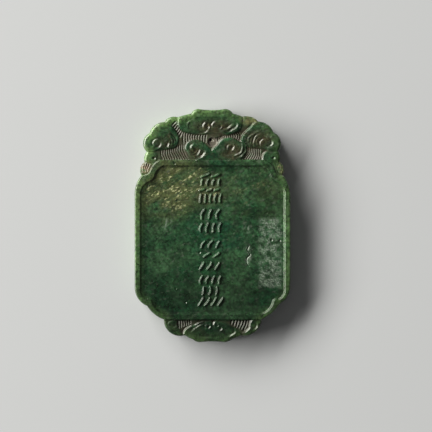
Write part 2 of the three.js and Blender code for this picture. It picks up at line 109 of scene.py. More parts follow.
# Raised forms on the sunk ground: top level, width of the slope round them, how far they dome, and the run.
FORMS = [
    (FACE, 0.7, 0.0, PANEL),
    (CREST, 0.8, 0.0, [(-13.3, 47, 0), (11.4, 47, 0), (11.4, 41.6, 0.2), (11.1, 38.0, 0.5), (9.2, 35.9, 0.2),
                      (4.6, 35.0, 0), (-0.1, 35.4, 0), (-6.1, 35.0, 0.2), (-11.4, 36.2, 0.5),
                      (-13.3, 39.4, 0)]),                                                        # top cloud
    (CREST, 0.8, 0.1, [(-18.6, 39.9, 0.3), (-14.4, 36.6, 0.7), (-13.3, 31.9, 0.6), (-15.6, 29.7, 0),
                      (-20.4, 29.2, 0), (-22.5, 28.4, 0), (-32, 28.4, 0), (-32, 40, 0)]),        # left cloud
    (CREST, 0.8, 0.1, [(32, 28.7, 0), (22.6, 28.7, 0), (20.4, 29.4, 0), (14.0, 29.9, 0.5),
                      (10.96, 33.06, 0.35), (13.3, 36.9, -0.1), (15.2, 39.0, 0.1), (17.6, 40.2, 0),
                      (32, 42, 0)]),                                                             # right cloud
    (LOBE, 0.8, 0.2, [(-13.0, 44, 0), (-13.0, 38.6, 0), (-15.6, 38.2, 0), (-19, 40.0, 0), (-19, 44, 0)]),
    (LOBE, 0.8, 0.2, [(11.2, 44, 0), (18, 42, 0), (17.4, 39.9, 0), (14.2, 37.6, 0), (11.0, 38.6, 0)]),
    (LOBE, 0.8, 0.2, [(-32, 28.6, 0), (-22.2, 28.4, 0.4), (-21.2, 26.6, 0), (-21.4, 24, 0), (-32, 24.4, 0)]),
    (LOBE, 0.8, 0.2, [(32, 24.4, 0), (19.2, 24, 0), (19.3, 26.8, 0.5), (21.2, 28.2, 0), (32, 28.9, 0)]),
    (LOBE, 0.8, 0.3, [(-32, 24.4, 0), (-21, 24.4, 0), (-21, 19, 0), (-32, 19, 0)]),              # shell tips
    (LOBE, 0.8, 0.3, [(32, 24.4, 0), (32, 19, 0), (21, 19, 0), (21, 24.4, 0)]),
    (CURL, 0.8, 0.15, [(-5.4, 24, 0), (-7.2, 25.6, 0.3), (-9.9, 28.6, 0.35), (-10.3, 30.9, 0.8),  # big curls
                      (-6.4, 33.0, 0.4), (-3.2, 31.6, 0), (-0.4, 28.9, 0.1), (1.1, 30.1, -0.1),
                      (3.5, 32.6, 0.1), (5.6, 33.7, 0.5), (9.6, 32.6, 0.4), (13.4, 30.4, 0.5),
                      (11.0, 24, 0)]),
    (LOBE, 0.8, 0.1, [(-11.4, -42.4, 0.3), (-9.4, -39.0, 0.3), (-4.0, -36.9, 0.2), (3.4, -37.1, 0.4),
                      (9.4, -40.2, 0.4), (11.2, -42.6, 0), (8, -47, 0), (-8, -47, 0)]),          # foot
    (LOBE, 0.8, 0.3, [(-20, -35, 0), (-13.6, -35, 0), (-13.4, -38.4, 0.4), (-12.0, -41.0, 0), (-10.6, -44, 0),
                      (-20, -44, 0)]),
    (LOBE, 0.8, 0.3, [(20, -35, 0), (20, -44, 0), (10.6, -44, 0), (12.6, -41.0, 0.4), (14.3, -38.0, 0.2),
                      (14.6, -35, 0)]),
]
TOP_CLOUD_HOLLOW = [
    (-9.4, 37.3, 0), (-9.7, 38.6, 0.4), (-7.2, 41.0, 0.2), (-5.4, 41.9, 0), (4.2, 41.9, 0.3),
    (9.4, 39.8, 0.5), (9.2, 37.4, 0.2), (6.0, 34.0, 0), (-6.0, 34.0, 0),
]

# ------------------------------------------------------------------------------------------------------------
# Curves in the plane of the drawing. Each is an array of points, one row a point.

FINE_STEP = 0.25


def arc_between(start, end, bow, step):
    chord = end - start
    length = np.hypot(*chord)
    if bow == 0:
        count = max(1, math.ceil(length / (4 * step)))
        return start + chord * (np.arange(count) / count)[:, None]
    radius = (length ** 2 / 4 + bow ** 2) / (2 * abs(bow))
    outward = np.array([-chord[1], chord[0]]) / length * math.copysign(1, bow)
    centre = (start + end) / 2 + outward * (abs(bow) - radius)
    sweep = -2 * math.asin(min(1, length / (2 * radius))) * math.copysign(1, bow)
    count = max(2, math.ceil(abs(sweep) * radius / step))
    angles = sweep * np.arange(count) / count
    first = start - centre
    turned = np.stack([first[0] * np.cos(angles) - first[1] * np.sin(angles),
                       first[0] * np.sin(angles) + first[1] * np.cos(angles)], axis=1)
    return centre + turned


def closed_run(knots, step=FINE_STEP):
    places = [np.array(knot[:2], float) for knot in knots]
    return np.concatenate([arc_between(places[i], places[(i + 1) % len(knots)], knots[i][2], step)
                           for i in range(len(knots))])


def mirrored(half):
    last = len(half) - 1
    other = [(-half[last - i][0], half[last - i][1], half[last - i - 1][2] if i < last else 0)
             for i in range(len(half))]
    return half + other


def spiral(x, y, inner, outer, start, turns):
    """Round a centre from one radius to another, starting at an angle in degrees."""
    sweep = turns * 2 * math.pi
    count = max(8, math.ceil(abs(sweep) * (inner + outer) / 2 / FINE_STEP))
    share = np.arange(count + 1) / count
    radius = inner + (outer - inner) * share
    angle = math.radians(start) + sweep * share
    return np.stack([x + radius * np.cos(angle), y + radius * np.sin(angle)], axis=1)


def ring(x, y, radius, start, turns):
    return spiral(x, y, radius, radius, start, turns)


def line(*places):
    """A smooth line through a few places, as a Catmull-Rom spline."""
    p = np.array(places, float)
    if len(p) == 2:
        return p
    ends = np.vstack([2 * p[0] - p[1], p, 2 * p[-1] - p[-2]])
    pieces = []
    for a, b, c, d in zip(ends[:-3], ends[1:-2], ends[2:-1], ends[3:]):
        count = max(3, math.ceil(np.hypot(*(c - b)) / FINE_STEP))
        t = (np.arange(count) / count)[:, None]
        pieces.append(0.5 * (2 * b + (c - a) * t + (2 * a - 5 * b + 4 * c - d) * t ** 2
                             + (3 * b - a - 3 * c + d) * t ** 3))
    return np.vstack(pieces + [p[-1:]])


def comb(first, last, count):
    """Lines spaced evenly between a first and a last guide line."""
    first, last = np.array(first, float), np.array(last, float)
    return [line(*(first + (last - first) * i / (count - 1))) for i in range(count)]


# ------------------------------------------------------------------------------------------------------------
# Height maps.

CELL = 0.06
MARGIN = 1.5
HALF_WIDTH, HALF_HEIGHT = 30.1, 45.1      # of the outline, rounded up
REACH_X = HALF_WIDTH + MARGIN
REACH_Y = HALF_HEIGHT + MARGIN
FORM_REACH = 3.0                          # how far from a form's edge its distance is worked out
DOME_REACH = 0.8                          # how far in from a form's edge its dome rises
SOFTNESS = 0.075                          # how softly the wheel leaves every edge
XS = np.arange(-REACH_X, REACH_X, CELL)
YS = np.arange(-REACH_Y, REACH_Y, CELL)


def window(points, margin):
    """The part of the map within a margin of some points, as a pair of slices."""
    low, high = points.min(0) - margin, points.max(0) + margin
    columns = slice(int(np.searchsorted(XS, low[0])), int(np.searchsorted(XS, high[0])))
    rows = slice(int(np.searchsorted(YS, low[1])), int(np.searchsorted(YS, high[1])))
    return rows, columns


def wobble(x, y):
    """How far the hand that cut the stone strays from the drawing, in each direction."""
    across = 0.07 * np.sin(0.83 * x + 1.31 * y + 0.4) + 0.05 * np.sin(1.9 * y - 0.6 * x + 2.0)
    along = 0.07 * np.sin(1.17 * x - 0.71 * y + 1.1) + 0.05 * np.sin(2.1 * x + 0.5 * y + 3.0)
    return across, along


PLAIN_X, PLAIN_Y = np.meshgrid(XS, YS)
STRAY_X, STRAY_Y = wobble(PLAIN_X, PLAIN_Y)
HAND_X, HAND_Y = PLAIN_X + STRAY_X, PLAIN_Y + STRAY_Y


def path_distance(path, margin, x=HAND_X, y=HAND_Y):
    """Near a path: the window, the distance to it, negative on its right, and the share of it passed."""
    area = window(path, margin)
    shape = (area[0].stop - area[0].start, area[1].stop - area[1].start)
    best = np.full(shape, (margin * 1.5) ** 2)
    along = np.zeros(shape)
    side = np.ones(shape)
    lengths = np.maximum(np.hypot(*(path[1:] - path[:-1]).T), 1e-9)
    total = lengths.sum()
    travelled = 0.0
    for a, b, length in zip(path[:-1], path[1:], lengths):
        near = window(np.array([a, b]), margin)
        inner = (slice(near[0].start - area[0].start, near[0].stop - area[0].start),
                 slice(near[1].start - area[1].start, near[1].stop - area[1].start))
        dx, dy = (b - a) / length
        px, py = x[near] - a[0], y[near] - a[1]
        t = np.clip(px * dx + py * dy, 0, length)
        squared = (px - t * dx) ** 2 + (py - t * dy) ** 2
        closer = squared < best[inner]
        best[inner][closer] = squared[closer]
        along[inner][closer] = (travelled + t[closer]) / total
        side[inner][closer] = np.where(py[closer] * dx - px[closer] * dy < 0, -1, 1)
        travelled += length
    return area, np.sqrt(best) * side, along


def inside(run, area):
    """Which cells of a window lie inside a closed run."""
    xs, ys = XS[area[1]], YS[area[0]]
    crossings = np.zeros((len(ys), len(xs) + 1), int)
    for a, b in zip(run, np.roll(run, -1, axis=0)):
        low, high = min(a[1], b[1]), max(a[1], b[1])
        rows = np.nonzero((ys >= low) & (ys < high))[0]
        if len(rows):
            crossing_x = a[0] + (ys[rows] - a[1]) * (b[0] - a[0]) / (b[1] - a[1])
            np.add.at(crossings, (rows, np.searchsorted(xs, crossing_x)), 1)
    return np.cumsum(crossings, axis=1)[:, :-1] % 2 == 1


def signed_distance(run, margin):
    """The window round a closed run, and the distance from its edge, positive inside, up to the margin."""
    closed = np.vstack([run, run[:1]])
    area, distance, _ = path_distance(closed, margin, PLAIN_X, PLAIN_Y)
    distance = np.minimum(np.abs(distance), margin)
    return area, np.where(inside(run, area), distance, -distance)


def smooth(t):
    t = np.clip(t, 0, 1)
    return t * t * (3 - 2 * t)


def blurred(field, radius):
    """A Gaussian blur with the given radius in millimetres."""
    rows = np.fft.fftfreq(field.shape[0], CELL)[:, None]
    columns = np.fft.rfftfreq(field.shape[1], CELL)[None, :]
    keep = np.exp(-2 * (math.pi * radius) ** 2 * (rows ** 2 + columns ** 2))
    return np.fft.irfft2(np.fft.rfft2(field) * keep, s=field.shape)


def taper(along, end_share):
    """A stroke's width share: full in its middle and end_share at its ends."""
    return end_share + (1 - end_share) * np.sqrt(np.clip(np.sin(math.pi * along), 0, 1))


def raise_ridge(height, path, half, top, base, end_share=0.5):
    """A rounded ridge that stands from a base level up to a top level."""
    area, distance, along = path_distance(path, half * 1.6)
    width = half * taper(along, end_share)
    profile = smooth(1.25 - np.abs(distance) / (width * 1.25) * 0.95)
    rise = base + (top - base) * profile * (0.75 + 0.25 * taper(along, end_share))
    height[area] = np.where(profile > 0, np.maximum(height[area], rise), height[area])


def cut_grooves(height, paths, half, depth, end_share=0.5):
    """V-shaped cuts with soft lips. Where two cuts meet, the deeper one counts."""
    cut = np.zeros_like(height)
    for path in paths:
        area, distance, along = path_distance(path, half * 1.3)
        share = taper(along, end_share)
        depth_here = depth * (0.6 + 0.4 * share) * np.clip(1 - np.abs(distance) / (half * share), 0, 1)
        cut[area] = np.maximum(cut[area], depth_here)
    height -= cut


def step_along(height, path, slope, reach, width):
    """A sloping step: the stone stands up on the left of the path, dips on its right, and eases off."""
    area, distance, along = path_distance(path, 3 * reach + width / 2)
    rise = slope * width / 2 * taper(along, 0.0)
    ease = np.exp(-np.maximum(np.abs(distance) - width / 2, 0) / reach)
    height[area] += rise * np.clip(distance / (width / 2), -1, 1) * ease


def step_all(height, steps):
    """Steps given as rows of slope, reach, width and the places their middle runs through."""
    for slope, reach, width, places in steps:
        step_along(height, line(*places), slope, reach, width)


def press_pit(height, x, y, radius, depth):
    area = window(np.array([[x, y]]), radius * 1.2)
    distance = np.hypot(HAND_X[area] - x, HAND_Y[area] - y)
    height[area] -= depth * smooth(1 - distance / radius)


def soft_disc(x, y, centre, radii):
    """A share that is 1 at a centre and fades out at an ellipse."""
    return smooth(1.3 - 1.3 * np.hypot((x - centre[0]) / radii[0], (y - centre[1]) / radii[1]))


def sink(height, centre, radii, share):
    """Ease what stands up round a place down towards the ground."""
    height -= share * soft_disc(PLAIN_X, PLAIN_Y, centre, radii) * np.maximum(height - GROUND, 0)


def raised_forms():
    """The sunk ground with its wave lines, and the raised forms on it."""
    height = np.full(PLAIN_X.shape, GROUND)
    carve_waves(height)
    for top, slope, dome, knots in FORMS:
        area, distance = signed_distance(closed_run(knots), FORM_REACH)
        level = top - dome * np.exp(-np.maximum(distance, 0) / DOME_REACH)
        height[area] += np.maximum(level - height[area], 0) * smooth(distance / slope + 0.5)
    return height


# ------------------------------------------------------------------------------------------------------------
# The carving of the front.


def carve_field(height):
    area, distance = signed_distance(closed_run(mirrored(FIELD_HALF)), FORM_REACH)
    x, y = PLAIN_X[area], PLAIN_Y[area]
    # On the left and at the top the field sinks more gently.
    gentle = np.maximum(0.6 * smooth((-19 - x) / 5), 0.35 * smooth((y - 18) / 3))
    near, far = smooth(distance / 0.85 + 0.35), smooth((distance + 0.3) / 3.3)
    height[area] -= (FACE - FIELD) * (near + gentle * (far - near))


def carve_top_cloud(height):
    area, distance = signed_distance(closed_run(TOP_CLOUD_HOLLOW), 1.5)
    height[area] = np.minimum(height[area], FACE - (FACE - CLOUD_FLOOR) * smooth(distance / 0.8 + 0.3))
    sink(height, (-1.0, 34.9), (12, 2.8), 0.65)
    sink(height, (11.2, 38.0), (2.4, 4.5), 0.5)
    step_all(height, [
        (0.46, 0.8, 0.7, [(-6.4, 41.2), (-7.6, 40.6), (-9.0, 39.9), (-9.8, 39.0), (-9.8, 37.8)]),
        (0.66, 0.6, 0.75, [(-2.2, 39.7), (-3.2, 39.4), (-3.7, 38.4), (-3.3, 37.3)]),
        (0.66, 0.4, 0.65, [(-2.0, 38.9), (-1.5, 38.2), (-1.5, 37.5), (-2.3, 37.0)]),
        (0.66, 0.6, 0.7, [(-1.4, 37.1), (-1.9, 36.3), (-3.0, 35.75), (-5.2, 35.5)]),
        (0.66, 0.6, 0.75, [(1.4, 40.2), (0.3, 39.4), (-0.3, 38.5), (-0.2, 37.5)]),
        (0.46, 0.4, 0.6, [(3.2, 38.8), (3.5, 37.8), (2.7, 36.9)]),
        (0.66, 0.6, 0.85, [(8.3, 39.2), (6.9, 38.3), (5.6, 37.4), (4.0, 36.8)]),
        (0.66, 0.7, 0.85, [(9.3, 40.0), (9.6, 38.7), (9.1, 37.7), (7.8, 37.0), (6.6, 36.25), (4.9, 35.8)]),
    ])


def carve_side_clouds(height):
    sink(height, (-13.4, 32.6), (3.4, 5.5), 0.55)
    sink(height, (-18, 28.8), (5, 1.8), 0.4)
    sink(height, (17.5, 29.4), (5, 1.8), 0.4)
    step_all(height, [
        # left
        (0.66, 0.5, 0.8, [(-21.0, 33.3), (-22.3, 32.7), (-22.9, 31.8), (-22.5, 30.5)]),
        (0.66, 0.5, 0.8, [(-19.9, 32.1), (-20.0, 30.9), (-20.8, 29.9), (-22.1, 29.5)]),
        (0.66, 0.45, 0.8, [(-16.9, 32.6), (-16.8, 31.4), (-17.3, 30.1), (-18.3, 30.2)]),
        (0.66, 0.45, 0.7, [(-17.4, 35.2), (-16.4, 34.0), (-15.8, 32.6), (-15.8, 31.2), (-16.2, 30.2)]),
        (0.56, 0.4, 0.6, [(-15.6, 34.3), (-14.9, 33.1), (-14.6, 31.9), (-15.3, 31.0)]),
        (0.56, 0.5, 0.6, [(-17.6, 36.8), (-15.6, 35.8), (-14.3, 34.2), (-13.8, 32.8), (-14.0, 31.4)]),
        (0.32, 0.5, 0.6, [(-19.4, 35.9), (-17.8, 35.5), (-16.3, 34.9), (-15.2, 33.7)]),
        # right
        (0.66, 0.6, 0.7, [(20.8, 33.4), (19.3, 33.0), (18.4, 31.9), (18.2, 30.3)]),
        (0.66, 0.7, 1.1, [(21.9, 33.6), (22.9, 32.7), (23.1, 31.4), (22.3, 30.5), (20.9, 30.0)]),
        (0.66, 0.45, 0.7, [(18.4, 35.3), (16.9, 34.5), (15.9, 33.0), (15.6, 31.8), (15.9, 30.4)]),
        (0.46, 0.35, 0.5, [(18.2, 34.2), (17.2, 33.2), (16.8, 32.1), (17.0, 30.6)]),
        (0.46, 0.4, 0.6, [(15.6, 34.2), (14.8, 33.2), (14.5, 32.0), (14.8, 30.9)]),
        (0.56, 0.5, 0.6, [(16.0, 35.3), (14.6, 34.5), (13.6, 33.4), (13.4, 31.9)]),
        (0.32, 0.5, 0.7, [(18.8, 36.9), (17.2, 36.3), (15.6, 35.5), (14.4, 34.9)]),
        (0.32, 0.5, 0.7, [(21.8, 35.2), (20.6, 34.7), (19.4, 34.0)]),
        (0.66, 0.8, 0.9, [(16.9, 40.4), (15.6, 39.0), (14.7, 37.8), (13.8, 36.8), (12.5, 35.9), (11.5, 35.0),
                          (11.0, 33.8), (10.9, 32.5), (11.5, 31.2)]),
    ])
    channel = comb([(-14.2, 39.9), (-15.6, 38.4)], [(-11.7, 36.0), (-12.8, 34.0)], 6)
    cut_grooves(height, channel, 0.5, 0.34, 0.6)


def carve_big_curls(height):
    press_pit(height, -6.2, 28.5, 2.6, 0.35)
    press_pit(height, 7.0, 28.3, 3.2, 0.45)
    sink(height, (13.2, 28.0), (2.2, 4.0), 0.85)
    step_all(height, [
        # left
        (0.62, 0.5, 0.8, [(-7.2, 31.5), (-8.2, 30.7), (-8.2, 29.6), (-7.4, 28.6)]),
        (0.56, 0.4, 0.6, [(-4.8, 29.6), (-5.2, 28.0), (-6.1, 27.1), (-7.5, 26.8)]),
        (0.46, 0.35, 0.5, [(-5.9, 29.0), (-6.6, 28.1), (-8.1, 27.5)]),
        (0.66, 0.8, 1.1, [(-2.9, 29.2), (-3.1, 27.7), (-4.0, 26.6), (-5.2, 26.0), (-6.6, 25.7)]),
        # right
        (0.66, 0.5, 0.7, [(7.3, 31.2), (6.1, 30.7), (5.6, 29.9), (5.6, 28.8)]),
        (0.66, 0.4, 0.7, [(7.5, 31.4), (8.1, 30.3), (7.7, 29.3), (6.9, 28.9)]),
        (0.66, 0.5, 0.7, [(11.0, 31.6), (11.3, 30.0), (10.9, 28.5), (9.8, 27.5), (7.8, 26.8)]),
        (0.66, 0.5, 0.7, [(12.4, 30.6), (12.4, 28.9), (11.6, 27.4), (10.2, 26.4), (8.4, 25.8)]),
        (0.66, 0.6, 0.9, [(5.2, 34.3), (3.5, 33.4), (2.4, 32.2), (1.5, 31.0), (0.6, 29.9), (-0.6, 28.9)]),
        (0.32, 0.5, 0.6, [(9.4, 25.3), (6.4, 25.7), (4.6, 26.6), (3.6, 28.0)]),
    ])
    beside_right = comb([(13.3, 30.4), (13.3, 28.2), (12.2, 26.6), (11.2, 25.5)],
                        [(18.2, 29.6), (18.2, 28.2), (18.1, 26.9), (17.7, 25.6)], 8)
    cut_grooves(height, beside_right, 0.44, 0.3, 0.6)


def carve_waves(height):
    upper_left = comb([(-11.0, 35.8), (-11.4, 34.3), (-11.1, 31.8)],
                      [(-2.4, 34.9), (-2.8, 33.6), (-2.6, 32.0)], 10)
    upper_right = comb([(3.6, 34.8), (3.8, 34.3), (3.7, 33.8)],
                       [(10.0, 35.8), (10.6, 34.4), (10.2, 32.2)], 9)
    left_of_ogee = comb([(1.6, 33.6), (0.9, 31.6)], [(3.2, 34.4), (2.9, 33.2)], 3)
    lower_left = comb([(-19.8, 28.8), (-19.7, 27.2), (-19.2, 25.4)],
                      [(-11.3, 31.4), (-11.2, 28.8), (-9.4, 25.5)], 11)
    cut_grooves(height, upper_left + left_of_ogee, 0.48, 0.29, 0.6)
    cut_grooves(height, upper_right, 0.44, 0.32, 0.6)
    cut_grooves(height, lower_left, 0.45, 0.24, 0.6)


def carve_lobes(height):
    shell_left = comb([(-26.9, 23.4), (-27.3, 20.4)], [(-24.3, 24.0), (-25.3, 20.6)], 4)
    shell_right = comb([(26.4, 23.4), (26.9, 20.4)], [(24.3, 24.0), (25.2, 20.6)], 4)
    cut_grooves(height, shell_left + shell_right, 0.4, 0.22, 0.5)
    press_pit(height, -22.5, 25.9, 0.8, 0.5)
    press_pit(height, 23.4, 26.0, 0.8, 0.5)
    step_all(height, [
        (0.66, 0.6, 0.9, [(21.4, 28.5), (19.9, 28.0), (19.3, 26.9), (19.0, 24.8)]),
    ])


def carve_foot(height):
    step_all(height, [
        (0.66, 0.5, 0.8, [(-7.8, -38.6), (-9.6, -39.3), (-10.8, -40.5), (-11.3, -42.0)]),
        (0.66, 0.5, 0.7, [(-3.4, -36.6), (-5.6, -37.4), (-7.9, -39.0)]),
        (0.66, 0.5, 0.7, [(-2.4, -37.5), (-5.0, -38.5), (-7.0, -39.5), (-8.6, -41.1)]),
        (0.66, 0.4, 0.7, [(-2.2, -37.9), (-2.9, -38.6), (-2.3, -39.5)]),
        (0.66, 0.4, 0.7, [(-1.5, -37.8), (-1.1, -38.9), (-1.9, -39.8)]),
        (0.66, 0.5, 0.8, [(1.6, -36.4), (0.6, -37.3), (0.4, -38.3), (1.0, -39.3)]),
        (0.56, 0.4, 0.6, [(1.6, -37.6), (2.2, -38.5), (1.6, -39.2)]),
        (0.66, 0.4, 0.7, [(3.4, -38.8), (3.5, -39.8), (2.4, -40.4)]),
        (0.32, 0.4, 0.6, [(4.2, -42.9), (0, -43.1), (-4.6, -43.0), (-7.2, -42.2)]),
        (0.66, 0.5, 0.8, [(8.4, -39.5), (8.7, -40.8), (7.9, -41.8), (6.2, -42.5), (4.2, -42.9)]),
        (0.66, 0.5, 0.9, [(15.8, -36.0), (14.6, -36.9), (14.2, -38.2), (14.5, -39.4)]),
        (0.66, 0.5, 0.9, [(14.3, -38.8), (13.7, -39.9), (12.8, -40.6), (11.3, -40.9)]),
        (0.66, 0.5, 0.8, [(17.0, -37.5), (17.2, -38.8), (16.6, -39.7), (15.2, -40.2)]),
        (0.46, 0.5, 0.7, [(-13.9, -37.8), (-14.2, -38.9), (-15.4, -39.2), (-16.8, -38.4)]),
        (0.46, 0.5, 0.7, [(-14.6, -36.7), (-15.8, -36.6), (-17.0, -37.4), (-16.9, -38.6)]),
    ])
    left = comb([(-13.2, -36.5), (-13.0, -39.4)], [(-8.6, -36.5), (-8.6, -37.8)], 6)
    right = comb([(7.5, -36.5), (7.2, -38.0)], [(13.3, -36.5), (12.0, -40.4)], 6)
    cut_grooves(height, left, 0.42, 0.36, 0.6)
    cut_grooves(height, right, 0.5, 0.46, 0.6)


def carve_wear(height):
    """Small nicks in the polished face, and a crooked scratch."""
    for x, y, radius in [(22.6, -5.6, 0.8), (25.9, -6.0, 0.7), (-5.0, -10.4, 0.7), (-14.6, 23.6, 0.5),
                         (-10.3, -29.7, 0.6), (-14.0, -24.3, 0.5), (-24.9, 15.3, 0.5)]:
        press_pit(height, x, y, radius, radius * 0.5)
    scratch = line((14.1, -8.0), (13.4, -9.6), (14.4, -11.2), (13.3, -12.6), (13.1, -14.5), (14.0, -15.8))
    cut_grooves(height, [scratch], 0.38, 0.3)


def row(height, count, y, pitch, dx, dy, bend=0.0, shift=0.0):
    """A row of like strokes, each leaning by dx over its height of twice dy and bent in its middle."""
    for i in range(count):
        x = STROKES_X + shift + (i - (count - 1) / 2) * pitch
        path = line((x - dx, y - dy), (x + bend, y), (x + dx, y + dy))
        raise_ridge(height, path, STROKE_HALF, FIELD + STROKE_RISE, FIELD, 0.8)


def carve_strokes(height):
    """Four groups of rows of plain raised strokes down the middle of the field. They spell nothing."""
    row(height, 2, 19.2, 4.0, 1.5, 0.5, 0.2)
    row(height, 4, 16.6, 2.2, 0.2, 1.0, -0.2)
    row(height, 3, 13.6, 2.9, 0.9, 0.35, 0.1, -0.5)
    row(height, 5, 10.4, 1.9, 0.15, 1.5, -0.25)

    row(height, 3, 4.3, 2.9, 0.5, 1.7, -0.5)
    row(height, 4, -0.9, 2.4, 0.3, 1.6, -0.3)

    row(height, 3, -7.3, 2.9, 0.7, 1.2, -0.3)
    row(height, 2, -11.4, 3.8, 1.1, 0.8, 0.1, 0.4)
    row(height, 3, -15.6, 3.0, 0.8, 1.3, 0.2, -0.4)

    row(height, 4, -21.0, 2.4, 0.4, 1.3, -0.3)
    row(height, 3, -25.2, 2.6, 0.2, 1.5, 0.3, -0.3)
    row(height, 4, -29.4, 2.5, 0.9, 1.4, 0.2)


def carve_socket(height):
    """The shallow socket with the bore of the cord hole at its upper left."""
    area = window(np.array([[SOCKET_X, SOCKET_Y]]), SOCKET_RADIUS)
    inward = SOCKET_RADIUS - np.hypot(PLAIN_X[area] - SOCKET_X, PLAIN_Y[area] - SOCKET_Y)
    floor = FACE - 0.1 - (SOCKET_DEPTH + FACE - 0.1 - GROUND) * smooth(inward / SOCKET_WALL)
    height[area] = np.where(inward > 0, np.minimum(height[area], floor), height[area])


def carve_front():
    height = raised_forms()
    carve_field(height)
    carve_top_cloud(height)
    carve_side_clouds(height)
    carve_big_curls(height)
    carve_lobes(height)
    carve_foot(height)
    carve_strokes(height)
    carve_wear(height)
    carve_socket(height)
    return blurred(np.minimum(height, FACE), SOFTNESS)


# ------------------------------------------------------------------------------------------------------------
# The back, plainer: a sunk field, a line inside the crest and the foot, and two curls. Its map is of depths.


def carve_back():
    depth = np.zeros(PLAIN_X.shape)
    area, distance = signed_distance(closed_run(mirrored(FIELD_HALF)), FORM_REACH)
    depth[area] = BACK_FIELD_DEPTH * smooth(distance / 0.7)
    lines = [
        line((-18.4, 27.6), (-22.4, 31.2), (-20.2, 35.4), (-14.4, 36.6)),
        line((18.2, 27.6), (22.2, 31.2), (20.0, 35.4), (14.2, 36.6)),
        line((-10.4, 39.2), (-5.4, 41.2), (0, 40.7), (4.8, 41.2), (9.6, 39.2)),
        spiral(-9.6, 30.6, 0.8, 3.6, 180, -1.25),
        spiral(9.2, 30.6, 0.8, 3.6, 0, 1.25),
        line((-14.0, -38.6), (-8.6, -40.6), (0, -42.2), (8.6, -40.6), (14.0, -38.6)),
    ]
    cut_grooves(depth, lines, 0.55, BACK_LINE_DEPTH, 0.6)
    return np.abs(blurred(depth * np.where(depth < 0, -1, 1), SOFTNESS))


# ------------------------------------------------------------------------------------------------------------
# From height maps to one closed mesh.

FINEST = 0.16            # closest spacing of points, in millimetres
KEEP_GAP = 0.03          # points closer than this become one
BATCH = 4000             # points worked out at a time
LEVELS = 3               # each level is twice as coarse as the one before
CHORD_ERROR = 0.004      # how far a flat triangle may stray from the carving


def sampled(field, points):
    """Bilinear samples of a map at points."""
    u = (points[:, 0] - XS[0]) / CELL
    v = (points[:, 1] - YS[0]) / CELL
    i = np.clip(u.astype(int), 0, len(XS) - 2)
    j = np.clip(v.astype(int), 0, len(YS) - 2)
    fu, fv = u - i, v - j
    return ((field[j, i] * (1 - fu) + field[j, i + 1] * fu) * (1 - fv)
            + (field[j + 1, i] * (1 - fu) + field[j + 1, i + 1] * fu) * fv)


def needed_spacing(field, chord_error):
    """The spacing of points that keeps flat triangles within a chord error of the map."""
    gy, gx = np.gradient(field, CELL)
    gyy, gyx = np.gradient(gy, CELL)
    _, gxx = np.gradient(gx, CELL)
    bend = blurred(np.sqrt(gxx ** 2 + 2 * gyx ** 2 + gyy ** 2), 0.12)
    return np.sqrt(8 * chord_error / np.maximum(bend, 1e-6))


def lattice_points(spacing_map, finest, levels):
    """Points of nested triangular lattices: all of the coarsest, and finer ones where they are needed."""
    row_height = finest * math.sqrt(3) / 2
    rows = int(REACH_Y / row_height)
    columns = int(REACH_X / finest) + rows
    j, i = np.meshgrid(np.arange(-rows, rows + 1), np.arange(-columns, columns + 1), indexing="ij")
    level = np.zeros(i.shape, int)
    for k in range(1, levels + 1):
        level += ((i % 2 ** k == 0) & (j % 2 ** k == 0)).astype(int) * (level == k - 1)
    points = np.stack([(i + j / 2) * finest, j * row_height], axis=-1).reshape(-1, 2)
    level = level.ravel()
    on_map = (np.abs(points[:, 0]) < REACH_X - 1) & (np.abs(points[:, 1]) < REACH_Y - 1)
    points, level = points[on_map], level[on_map]
    spacing = finest * 2.0 ** level
    return points[(level == levels) | (sampled(spacing_map, points) < 1.6 * spacing)]


def run_distance(points, run):
    """Distance from each point to a closed run of short edges, worked out in batches."""
    starts, ends = run, np.roll(run, -1, axis=0)
    edge = ends - starts
    squared_length = (edge ** 2).sum(1)
    distance = np.empty(len(points))
    for first in range(0, len(points), BATCH):
        batch = points[first:first + BATCH, None, :] - starts[None]
        t = np.clip((batch * edge).sum(2) / squared_length, 0, 1)
        gap = batch - t[..., None] * edge
        distance[first:first + BATCH] = np.sqrt((gap ** 2).sum(2).min(1))
    return distance


def inner_rings(run, distances):
    """Points at set distances inside a closed run, on its edges' normals and round its sharp notches."""
    ahead, behind = np.roll(run, -1, axis=0) - run, run - np.roll(run, 1, axis=0)
    ahead /= np.hypot(*ahead.T)[:, None]
    behind /= np.hypot(*behind.T)[:, None]
    inward = [np.stack([edge[:, 1], -edge[:, 0]], axis=1) for edge in (behind, ahead)]
    rings = []
    for reach in distances:
        for share in (0.0, 0.25, 0.5, 0.75, 1.0):
            normal = inward[0] * (1 - share) + inward[1] * share
            normal /= np.hypot(*normal.T)[:, None]
            corner = (ahead * behind).sum(1) < math.cos(math.radians(8))
            use = corner if share in (0.0, 0.25, 0.75, 1.0) else np.ones(len(run), bool)
            candidates = run[use] + normal[use] * reach
            rings.append(candidates[np.abs(run_distance(candidates, run) - reach) < 0.02 + 0.03 * reach])
    return np.vstack(rings)


RIM_ANGLE = math.atan(BEVEL_SLOPE)
ROUND_RADIUS = EDGE_ROUND / (1 - math.sin(RIM_ANGLE))


